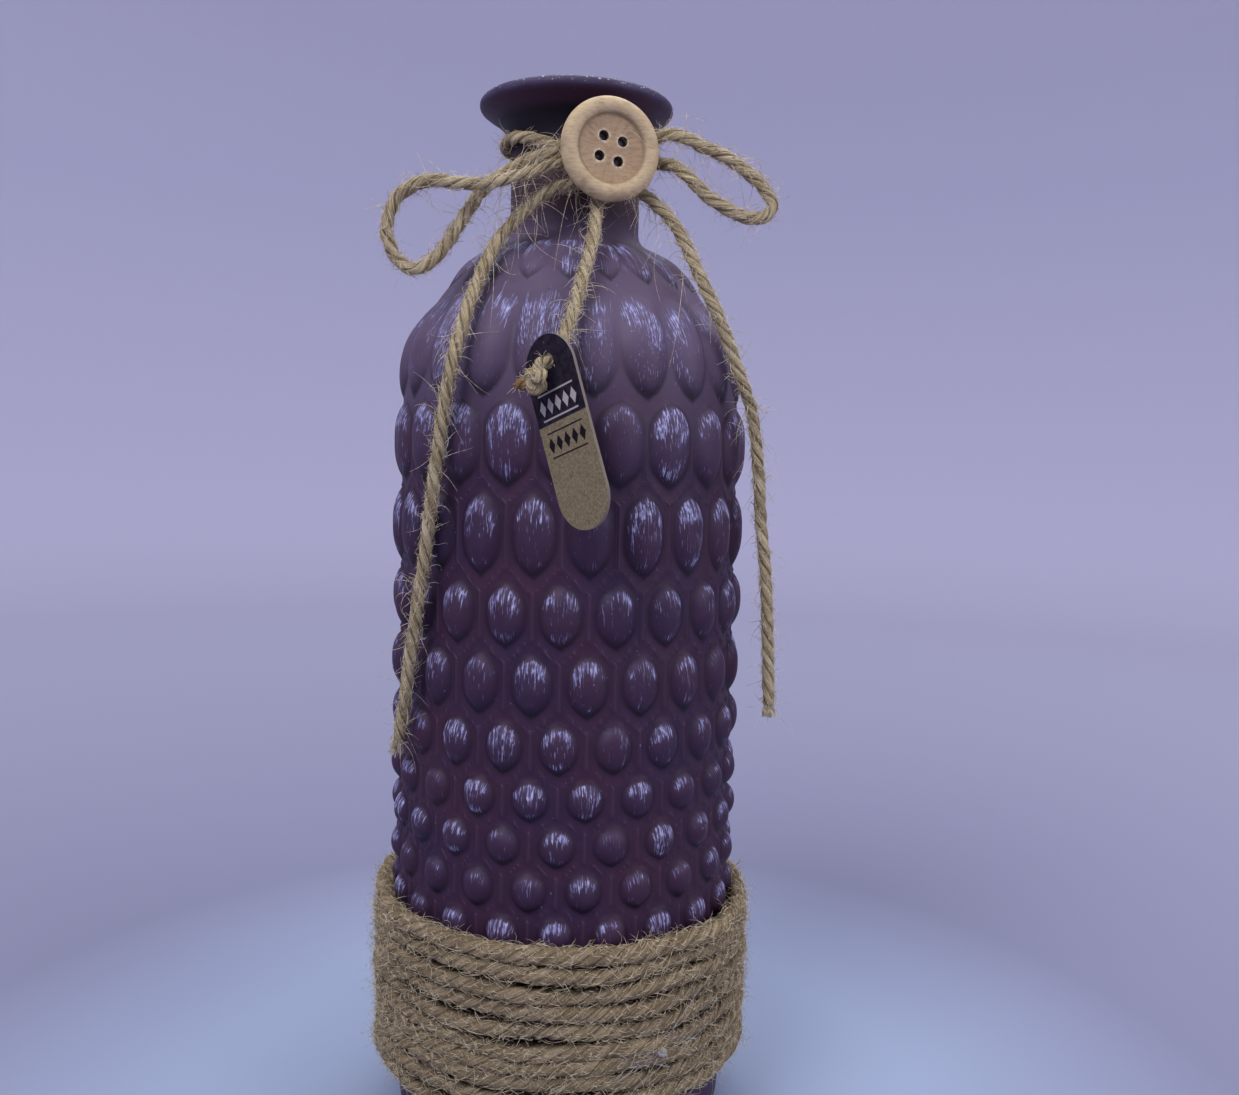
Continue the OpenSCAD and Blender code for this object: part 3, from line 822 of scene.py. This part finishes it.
# %% Wire and Finish
class Wire:
    """A number or colour that comes out of a node."""

    def __init__(self, tree, socket):
        self.tree, self.socket = tree, socket

    def _math(self, operation, *values, clamp=False):
        node = self.tree.nodes.new("ShaderNodeMath")
        node.operation, node.use_clamp = operation, clamp
        for slot, value in zip(node.inputs, values):
            if isinstance(value, Wire):
                self.tree.links.new(value.socket, slot)
            else:
                slot.default_value = value
        return Wire(self.tree, node.outputs[0])

    def __abs__(self):
        return self._math("ABSOLUTE", self)

    def clipped(self):
        """Held between 0 and 1."""
        return self._math("ADD", self, 0.0, clamp=True)

    def sine(self):
        return self._math("SINE", self)

    def root(self):
        return self._math("SQRT", self)

    def lower(self, other):
        return self._math("MINIMUM", self, other)

    def higher(self, other):
        return self._math("MAXIMUM", self, other)

    def steps_up(self, low, high):
        """0 below low, 1 above high, and a straight ramp between."""
        return ((self - low) * (1 / (high - low))).clipped()


# The four signs, and their reflected forms for a plain number on the left
for sign, operation in (("add", "ADD"), ("sub", "SUBTRACT"), ("mul", "MULTIPLY"), ("truediv", "DIVIDE")):
    setattr(Wire, f"__{sign}__", lambda a, b, kind=operation: a._math(kind, a, b))
    setattr(Wire, f"__r{sign}__", lambda a, b, kind=operation: a._math(kind, b, a))


class Finish:
    """One material, with the nodes of its finish."""

    def __init__(self, name, slots=None):
        self.material = bpy.data.materials.new(name)
        self.material.use_nodes = True
        self.tree = self.material.node_tree
        self.shader = self.tree.nodes["Principled BSDF"]
        for key, value in (slots or {}).items():
            self.shader.inputs[key].default_value = value

    def node(self, kind, settings=None, sockets=None, out=0):
        node = self.tree.nodes.new(kind)
        for key, value in (settings or {}).items():
            if key == "stops":
                ramp = node.color_ramp
                while len(ramp.elements) < len(value):
                    ramp.elements.new(0.5)
                for element, (place, colour) in zip(ramp.elements, value):
                    element.position, element.color = place, (*colour, 1)
            else:
                setattr(node, key, value)
        for key, value in (sockets or {}).items():
            slot = next(s for s in node.inputs if key in (s.identifier, s.name)) if isinstance(key, str) \
                else node.inputs[key]
            if isinstance(value, Wire):
                self.tree.links.new(value.socket, slot)
            else:
                slot.default_value = value
        return Wire(self.tree, node.outputs[out])

    def place(self):
        """Where a point is on the object, in millimetres."""
        spot = self.node("ShaderNodeTexCoord", out=3)
        return self.node("ShaderNodeVectorMath", {"operation": "SCALE"}, {0: spot, "Scale": 1000.0})

    def attribute(self, name):
        return self.node("ShaderNodeAttribute", {"attribute_name": name}, out=1)

    def parts(self, vector):
        split = self.tree.nodes.new("ShaderNodeSeparateXYZ")
        self.tree.links.new(vector.socket, split.inputs[0])
        return [Wire(self.tree, s) for s in split.outputs]

    def vector(self, x, y, z):
        return self.node("ShaderNodeCombineXYZ", None, {0: x, 1: y, 2: z})

    def stretch(self, vector, x, y, z):
        return self.node("ShaderNodeVectorMath", {"operation": "MULTIPLY"}, {0: vector, 1: (x, y, z)})

    def noise(self, vector, scale, detail=2.0, rough=0.5, warp=0.0):
        return self.node("ShaderNodeTexNoise", None, {"Vector": vector, "Scale": scale, "Detail": detail,
                                                      "Roughness": rough, "Distortion": warp})

    def blend(self, a, b, amount):
        """Colour a where the amount is 0, and colour b where it is 1."""
        a, b = [c if isinstance(c, Wire) else (*c, 1) for c in (a, b)]
        return self.node("ShaderNodeMix", {"data_type": "RGBA"},
                         {"Factor_Float": amount, "A_Color": a, "B_Color": b}, out=2)

    def bump(self, height, distance, strength=1.0):
        return self.node("ShaderNodeBump", None, {"Height": height, "Distance": distance, "Strength": strength})

    def use(self, **sockets):
        for key, value in sockets.items():
            self.tree.links.new(value.socket, self.shader.inputs[key.replace("_", " ")])

    def on(self, *pieces):
        for piece in pieces:
            piece.data.materials.clear()
            piece.data.materials.append(self.material)


# %% [markdown]
# ## Painted and dry-brushed glass
# The glass is sprayed with matte plum. A nearly dry brush with lilac is then dragged down over it, so the
# colour catches only on what stands out: most on the upper crown of each hobnail, a little on its foot.
# The brush's marks are noise that is stretched down the wall. `hob` says where the crown is, and a mark shows
# where the noise is higher than a limit that falls towards the crown. Fine marks and broad ones are laid over
# each other, and under them the lilac lies as a thin haze.

# %% Paint
paint = Finish("matte_plum_paint", {"Roughness": 0.5, "Specular IOR Level": 0.25})
spot = paint.place()
px, py, pz = paint.parts(spot)
q, share, luck = paint.parts(paint.attribute("hob"))
fan, net, seed = paint.parts(paint.attribute("stroke"))

cloud = paint.noise(spot, 0.045, 3.0)
mottle = paint.noise(spot, 0.35, 4.0, 0.6)
plum = paint.blend((0.042, 0.014, 0.036), (0.029, 0.013, 0.041), cloud.steps_up(0.35, 0.65))
plum = paint.blend(plum, (0.055, 0.020, 0.046), mottle.steps_up(0.5, 0.75) * 0.5)
upper = pz.steps_up(178.0, 212.0) * pz.steps_up(252.0, 240.0)
plum = paint.blend(plum, (0.125, 0.090, 0.150), upper * (0.35 + cloud.steps_up(0.3, 0.7) * 0.55))

# Painted shade: the crease round each hobnail, more on the body than on the shoulder, and each hobnail's underside
# are darkened where light from above doesn't reach. The faint net in the valleys is paler.
below = pz.steps_up(212.0, 196.0)
crease_shade = (1.0 - abs(q - 1.03) * 5.0).clipped() * (0.15 + below * 0.85)
under = share.steps_up(-0.45, -0.95) * q.steps_up(0.55, 0.9) * q.steps_up(1.15, 1.0)
plum = paint.blend(plum, (0.010, 0.005, 0.012), crease_shade * 0.5)
plum = paint.blend(plum, (0.008, 0.004, 0.010), under * 0.75)
plum = paint.blend(plum, (0.068, 0.038, 0.068), net * net * 0.7)

# Strokes of the brush
crown = (1.0 - q).steps_up(0.0, 0.3)
high = share.steps_up(-0.45, 0.5) * share.steps_up(1.02, 0.88)
low = share.steps_up(-0.28, -0.6) * share.steps_up(-0.92, -0.7)
arch = (1.0 - abs(q - 0.72) * 3.0).clipped() * share.steps_up(0.1, 0.5)
patchy = paint.noise(paint.vector(fan * 0.30, pz * 0.16, seed + 11.0), 1.0, 2.0)
load = (arch * 0.8 + crown * high * 0.66 + crown * low * 0.42 + crown * 0.27) * (0.45 + luck * 0.70)
load = load * (0.35 + patchy.steps_up(0.3, 0.65) * 0.95)
wiped = paint.noise(paint.stretch(spot, 1.0, 1.0, 0.5), 0.11, 2.0).steps_up(0.42, 0.62)
load = (load * (1.0 - upper * 0.25) + upper * 0.62 * wiped).clipped()

fine = paint.noise(paint.vector(fan * 3.6, pz * (0.27 - upper * 0.11), seed), 1.0, 2.0, 0.5)
broad = paint.noise(paint.vector(fan * 1.7, pz * 0.24, seed + 5.0), 1.0, 3.0, 0.65)
fine_mark = (fine - (0.735 - load * 0.25)).steps_up(0.0, 0.06)
broad_mark = (broad - (0.805 - load * 0.23)).steps_up(0.0, 0.06)
mark = fine_mark.higher(broad_mark) * (1.06 - q + upper * 0.5).steps_up(0.0, 0.1)
haze = (load * 0.30 + arch * 0.28).clipped()
colour = paint.blend(plum, (0.115, 0.090, 0.165), haze * 0.5)
tone = paint.noise(paint.vector(fan * 2.2, pz * 0.7, seed + 3.0), 1.0, 2.0).steps_up(0.38, 0.66)
lilac = paint.blend((0.12, 0.11, 0.235), (0.47, 0.47, 0.74), tone * (0.3 + load * 0.7))
colour = paint.blend(colour, lilac, mark * (0.5 + 0.4 * load))

# Loose flecks of lilac between the hobnails, and specks of dark dust
fleck = paint.noise(paint.stretch(spot, 1.0, 1.0, 0.4), 1.5, 2.0).steps_up(0.735, 0.76)
colour = paint.blend(colour, (0.30, 0.29, 0.48), fleck * paint.noise(spot, 0.08).steps_up(0.45, 0.6) * 0.7)
speck = paint.noise(spot, 1.3, 1.0).steps_up(0.80, 0.82)
colour = paint.blend(colour, (0.006, 0.005, 0.008), speck)

# The neck is a warmer, plainer plum. Under the lip the colour is painted near black as shade, and its outer part
# carries a painted reddish reflection. The top of the lip's edge is a patchy bluish grey, with chips of bare white.
radius = (px * px + py * py).root()
neck = pz.steps_up(241.0, 247.0) * pz.steps_up(264.0, 261.0)
colour = paint.blend(colour, (0.047, 0.023, 0.027), neck * 0.85)
# Painted shade under the lip
colour = paint.blend(colour, (0.007, 0.004, 0.010), pz.steps_up(260.5, 264.5) * pz.steps_up(272.8, 270.0))
# Painted reddish reflection on the outer part of the lip's underside
colour = paint.blend(colour, (0.046, 0.017, 0.034), pz.steps_up(267.5, 270.5) * radius.steps_up(20.0, 22.5) * 0.85)
# A patchy bluish grey band on top of the lip's edge
edge = pz.steps_up(272.9, 274.3) * radius.steps_up(22.6, 24.4)
bluish_band = edge * (0.45 + paint.noise(paint.stretch(spot, 1.0, 1.0, 2.5), 0.22, 4.0).steps_up(0.35, 0.6) * 0.55)
colour = paint.blend(colour, (0.058, 0.054, 0.108), bluish_band * 0.85)
chip = edge * pz.steps_up(274.0, 275.2) * paint.noise(spot, 1.1, 3.0, 0.7).steps_up(0.60, 0.66)
colour = paint.blend(colour, (0.48, 0.50, 0.66), chip)
relief = mottle * 0.5 + paint.noise(spot, 2.2, 2.0) * 0.3 + mark * 0.5 + net.steps_up(0.55, 1.0) * 3.0
paint.use(Base_Color=colour, Roughness=0.48 + mottle * 0.14 + mark * 0.15,
          Normal=paint.bump(relief, 0.12 * MM, 0.7))
paint.on(painted_bottle)
print("paint:", len(paint.tree.nodes), "nodes")

# %% [markdown]
# ## Jute
# Jute fibres run along their strand, so the noise that colours them is long one way and fine the other.
# The grooves between the strands are dark, because little light reaches them.
# The rope is darker and greyer than the twine. Both use the same recipe with their own colours.

# %% Jute
def jute(name, dark, mid, pale, strands=3, burnt_from=None):
    finish = Finish(name, {"Roughness": 0.85, "Specular IOR Level": 0.2})
    along, c, s = finish.parts(finish.attribute("lay"))
    fine = finish.noise(finish.vector(along * 0.13, c * 4.2, s * 4.2), 1.6, 4.0, 0.65)
    thread = finish.noise(finish.vector(along * 0.10 + 40.0, c * 9.0, s * 9.0), 1.6, 2.0)
    patch = finish.noise(finish.vector(along * 0.06, c * 0.6, s * 0.6), 1.0, 3.0)
    # The cosine of three or four times the angle, so -1 in each groove
    groove = 4.0 * (c * c * c) - 3.0 * c if strands == 3 else 8.0 * (c * c * c * c) - 8.0 * (c * c) + 1.0
    colour = finish.node("ShaderNodeValToRGB", {"stops": [(0.36, dark), (0.5, mid), (0.64, pale)]},
                         {0: fine * 0.65 + thread * 0.35})
    colour = finish.blend(colour, pale, patch.steps_up(0.52, 0.75) * 0.45)
    colour = finish.blend(colour, dark, patch.steps_up(0.46, 0.25) * 0.5)
    deep = groove.steps_up(-0.55, -1.0)
    colour = finish.blend(colour, [v * 0.45 for v in dark], deep * ((0.35 if strands == 3 else 0.1) + patch * 0.6))
    if strands == 4:
        # Between two turns the rope is in shadow.
        x, y, z = finish.parts(finish.place())
        gap = (x * x + y * y).root().steps_up(51.0, 49.9) * z.steps_up(65.0, 63.5)
        colour = finish.blend(colour, [v * 0.25 for v in dark], gap * 0.9)
    # Fine fibres cross the strands in every direction. Each is a thin contour line of a soft noise.
    spot, stray = finish.place(), 0.0
    for k, (x, y, z) in enumerate(((1.0, 1.0, 2.2), (0.7, 0.7, 1.0), (1.5, 1.5, 0.9))):
        field = finish.noise(finish.stretch(spot, x, y, z), 0.42 + 0.1 * k, 1.0, 0.5, 0.6)
        broken = finish.noise(finish.stretch(spot, y, x, z), 0.5 + 0.1 * k).steps_up(0.46, 0.54)
        stray = ((1.0 - abs(field - 0.44 - 0.06 * k) * 75.0).clipped() * broken).higher(stray)
    colour = finish.blend(colour, [min(v * 1.25, 0.85) for v in pale], stray * (0.45 if strands == 3 else 0.85))
    if burnt_from:
        singed = along.steps_up(burnt_from, burnt_from + 1.6)
        colour = finish.blend(colour, (0.24, 0.125, 0.035), singed * (0.6 + thread * 0.6).clipped())
    finish.use(Base_Color=colour, Roughness=0.8 + fine * 0.15,
               Normal=finish.bump(fine * 0.7 + thread * 0.4 - deep * 0.6 + stray * 0.4, 0.45 * MM, 1.0))
    return finish


TWINE_TONES = (0.13, 0.088, 0.042), (0.42, 0.325, 0.178), (0.86, 0.73, 0.48)
twine_finish = jute("jute_twine", *TWINE_TONES)
twine_finish.on(*[piece for piece, _ in free_cords.values()], tag_string, neck_loop, hitch)
jute("singed_jute", *TWINE_TONES, burnt_from=length_of(knot_points) / MM - 3.4).on(tag_knot)
rope_finish = jute("jute_rope", (0.090, 0.062, 0.033), (0.255, 0.190, 0.110), (0.48, 0.38, 0.24), strands=4)
rope_finish.on(rope_wrap)


def fibre(name, dark, pale):
    finish = Finish(name, {"Roughness": 0.8, "Specular IOR Level": 0.2})
    tone = finish.noise(finish.place(), 0.7, 2.0).steps_up(0.35, 0.65)
    finish.use(Base_Color=finish.blend(dark, pale, tone))
    return finish


rope_fibre = fibre("rope_fibre", (0.24, 0.180, 0.102), (0.76, 0.66, 0.47))
twine_fibre = fibre("twine_fibre", (0.32, 0.25, 0.15), (0.78, 0.70, 0.53))
rope_fibre.on(rope_hairs, *rope_fuzz)
twine_fibre.on(*hairy)

# %% [markdown]
# ## Turned wood
# The button is cut across the grain, so fine rays run out from its middle, and a thin dark ring is painted round the
# dish's edge. The rays are noise over the angle, which a narrow ring of coordinates gives.

# %% Wood
wood = Finish("pale_button_wood", {"Roughness": 0.5, "Specular IOR Level": 0.3})
turn = Matrix.Rotation(-math.pi / 2, 3, "X") @ Matrix.Rotation(-BOW_TURN, 3, "Z")
middle_of_button = face_on.translation / MM
centred = wood.node("ShaderNodeVectorMath", {"operation": "SUBTRACT"}, {0: wood.place(), 1: middle_of_button})
flat = wood.node("ShaderNodeVectorRotate", {"rotation_type": "EULER_XYZ"},
                 {"Vector": centred, "Rotation": turn.to_euler("XYZ")})
bx, by = wood.parts(flat)[:2]
reach = (bx * bx + by * by).root()
ray = wood.noise(wood.vector(bx / (reach + 0.6) * 9.0, by / (reach + 0.6) * 9.0, reach * 0.12), 1.0, 4.0, 0.65)
grain = wood.noise(wood.stretch(flat, 0.5, 2.6, 0.5), 0.9, 4.0, 0.6)
colour = wood.node("ShaderNodeValToRGB", {"stops": [(0.3, (0.36, 0.255, 0.140)), (0.52, (0.51, 0.385, 0.225)),
                                                    (0.75, (0.60, 0.470, 0.295))]},
                   {0: ray * 0.25 + grain * 0.75})
dish = wood.node("ShaderNodeValToRGB", {"stops": [(0.3, (0.20, 0.130, 0.068)), (0.5, (0.37, 0.250, 0.142)),
                                                  (0.75, (0.43, 0.315, 0.195))]},
                 {0: ray * 0.5 + grain * 0.5})
colour = wood.blend(colour, dish, reach.steps_up(8.5, 7.9))
# A thin dark ring painted round the dish's edge
ring = (1.0 - abs(reach - 8.3) * 1.6).clipped()
colour = wood.blend(colour, (0.15, 0.095, 0.052), ring * 0.6)
scorch = wood.noise(flat, 0.22, 3.0).steps_up(0.52, 0.8)
colour = wood.blend(colour, (0.21, 0.150, 0.085), scorch * reach.steps_up(8.5, 11.0) * 0.7)
hole_x, hole_y = [abs(v) for v in wood.parts(wood.node(
    "ShaderNodeVectorRotate", {"rotation_type": "Z_AXIS"}, {"Vector": flat, "Angle": math.radians(SEW_TURN)}))[:2]]
off_x, off_y = hole_x - SEW_PITCH / 2, hole_y - SEW_PITCH / 2
from_hole = (off_x * off_x + off_y * off_y).root()
torn = from_hole.steps_up(2.0, 1.35) * wood.noise(flat, 1.4, 3.0, 0.7).steps_up(0.40, 0.56)
colour = wood.blend(colour, (0.60, 0.50, 0.36), torn * reach.steps_up(7.0, 6.0))
# Painted shade deep in the sewing holes
colour = wood.blend(colour, (0.060, 0.032, 0.016), from_hole.steps_up(1.30, 1.22) * 0.9)
pore = wood.noise(wood.stretch(flat, 1.0, 2.0, 1.0), 2.6, 2.0).steps_up(0.66, 0.72)
colour = wood.blend(colour, (0.16, 0.105, 0.058), pore * 0.5)
wood.use(Base_Color=colour, Roughness=0.45 + grain * 0.2, Normal=wood.bump(ray * 0.6 + grain * 0.4, 0.12 * MM, 0.6))
wood.on(button)

# %% [markdown]
# ## Glue and card
# Set hot glue is milky and shiny. The tag is kraft card, and its upper part is printed black.
# A row of small lozenges and two rules ornament it: a lozenge is where two slanted distances add up to less
# than its size.

# %% Glue and card
glue = Finish("clear_glue", {"Roughness": 0.18, "Specular IOR Level": 0.6, "Coat Weight": 0.4})
cloudy = glue.noise(glue.place(), 0.9, 2.0)
glue.use(Base_Color=glue.blend((0.20, 0.18, 0.155), (0.50, 0.49, 0.50), cloudy.steps_up(0.35, 0.65)))
glue.on(glue_pad, glue_drop, glue_threads)

card = Finish("kraft_card", {"Roughness": 0.75, "Specular IOR Level": 0.1})
cx, cy, cz = card.parts(card.attribute("card"))
fleck = card.noise(card.place(), 1.8, 4.0, 0.7)
kraft = card.blend((0.120, 0.092, 0.052), (0.27, 0.215, 0.135), fleck.steps_up(0.34, 0.66))
face = cy.steps_up(-0.36, -0.40)
black = face * cz.steps_up(-13.6, -13.4)
fold = card.noise(card.place(), 0.8, 3.0)
printed = card.blend((0.010, 0.006, 0.013), (0.026, 0.020, 0.032), fold.steps_up(0.35, 0.7))


def lozenges(x, z, level, width, tall, count_step):
    """A row of diamonds at one height: 1 inside each."""
    wrapped = x._math("PINGPONG", x + count_step * 8, count_step / 2)
    size = wrapped * (1 / width) + abs(z - level) * (1 / tall)
    return size.steps_up(1.05, 0.95) * (6.4 - abs(x)).steps_up(0.0, 0.2)


def rule(x, z, level, half):
    return (half - abs(z - level)).steps_up(-0.04, 0.04) * (6.0 - abs(x)).steps_up(0.0, 0.2)


light_marks = lozenges(cx, cz, -9.6, 1.05, 1.9, 2.6).higher(rule(cx, cz, -6.6, 0.2)).higher(rule(cx, cz, -12.4, 0.2))
dark_marks = lozenges(cx, cz, -18.2, 1.05, 1.9, 2.6).higher(rule(cx, cz, -15.4, 0.18)).higher(
    rule(cx, cz, -21.0, 0.18))
colour = card.blend(kraft, printed, black)
colour = card.blend(colour, (0.42, 0.38, 0.36), light_marks * black * (0.75 + fleck * 0.3))
colour = card.blend(colour, (0.009, 0.006, 0.010), dark_marks * face * (1.0 - black))
edge = (0.33 - abs(cy)).steps_up(0.0, 0.03)
colour = card.blend(colour, (0.19, 0.17, 0.16), edge * 0.8)
card.use(Base_Color=colour, Roughness=0.62 + fleck * 0.2, Normal=card.bump(fleck, 0.05 * MM, 0.5))
card.on(tag)
print("materials:", len(bpy.data.materials))

# %% [markdown]
# ## Studio
# A pale round sweep, like a shallow bowl, stands in for the shop's shelf and wall.
# Two large soft lamps and a pale sky light the bottle evenly, a little more from above and from the left.

# %% Floor, lamps and sky
sweep = [(0.0, 0.0), (1.0, 0.0)] + [(1.0 + 0.6 * math.sin(math.radians(a)), 0.6 - 0.6 * math.cos(math.radians(a)))
                                   for a in range(6, 91, 6)] + [(1.6, 1.3)]
bm = spun(sweep, 96, unit=1.0)
bmesh.ops.recalc_face_normals(bm, faces=bm.faces)
floor = add_object("sweep", bm)
paper = Finish("pale_sweep", {"Roughness": 0.9, "Specular IOR Level": 0.1})
fx, fy = paper.parts(paper.place())[:2]
away = (fx * fx + fy * fy).root()
shelf = paper.blend((0.29, 0.345, 0.485), (0.215, 0.220, 0.325), away.steps_up(105.0, 200.0))
paper.use(Base_Color=paper.blend(shelf, (0.485, 0.478, 0.63), away.steps_up(200.0, 1300.0)))
paper.on(floor)

for name, place, size, power in (("key", (-0.55, -0.75, 1.05), 0.7, 9.0), ("fill", (0.85, -0.45, 0.6), 0.8, 4.2),
                                 ("top", (0.1, 0.35, 1.2), 0.8, 6.0)):
    lamp = bpy.data.lights.new(name, "AREA")
    lamp.shape, lamp.size, lamp.energy = "DISK", size, power
    lamp.color = (0.97, 0.97, 1.0)
    holder = bpy.data.objects.new(name, lamp)
    bpy.context.scene.collection.objects.link(holder)
    holder.location = place
    holder.rotation_euler = (Vector((0, 0, 0.15)) - Vector(place)).to_track_quat("-Z", "Y").to_euler()

world = bpy.data.worlds.new("sky")
bpy.context.scene.world = world
world.use_nodes = True
world.node_tree.nodes["Background"].inputs["Color"].default_value = (0.86, 0.86, 0.95, 1)
world.node_tree.nodes["Background"].inputs["Strength"].default_value = 0.75
bpy.context.scene.view_settings.view_transform = "Standard"
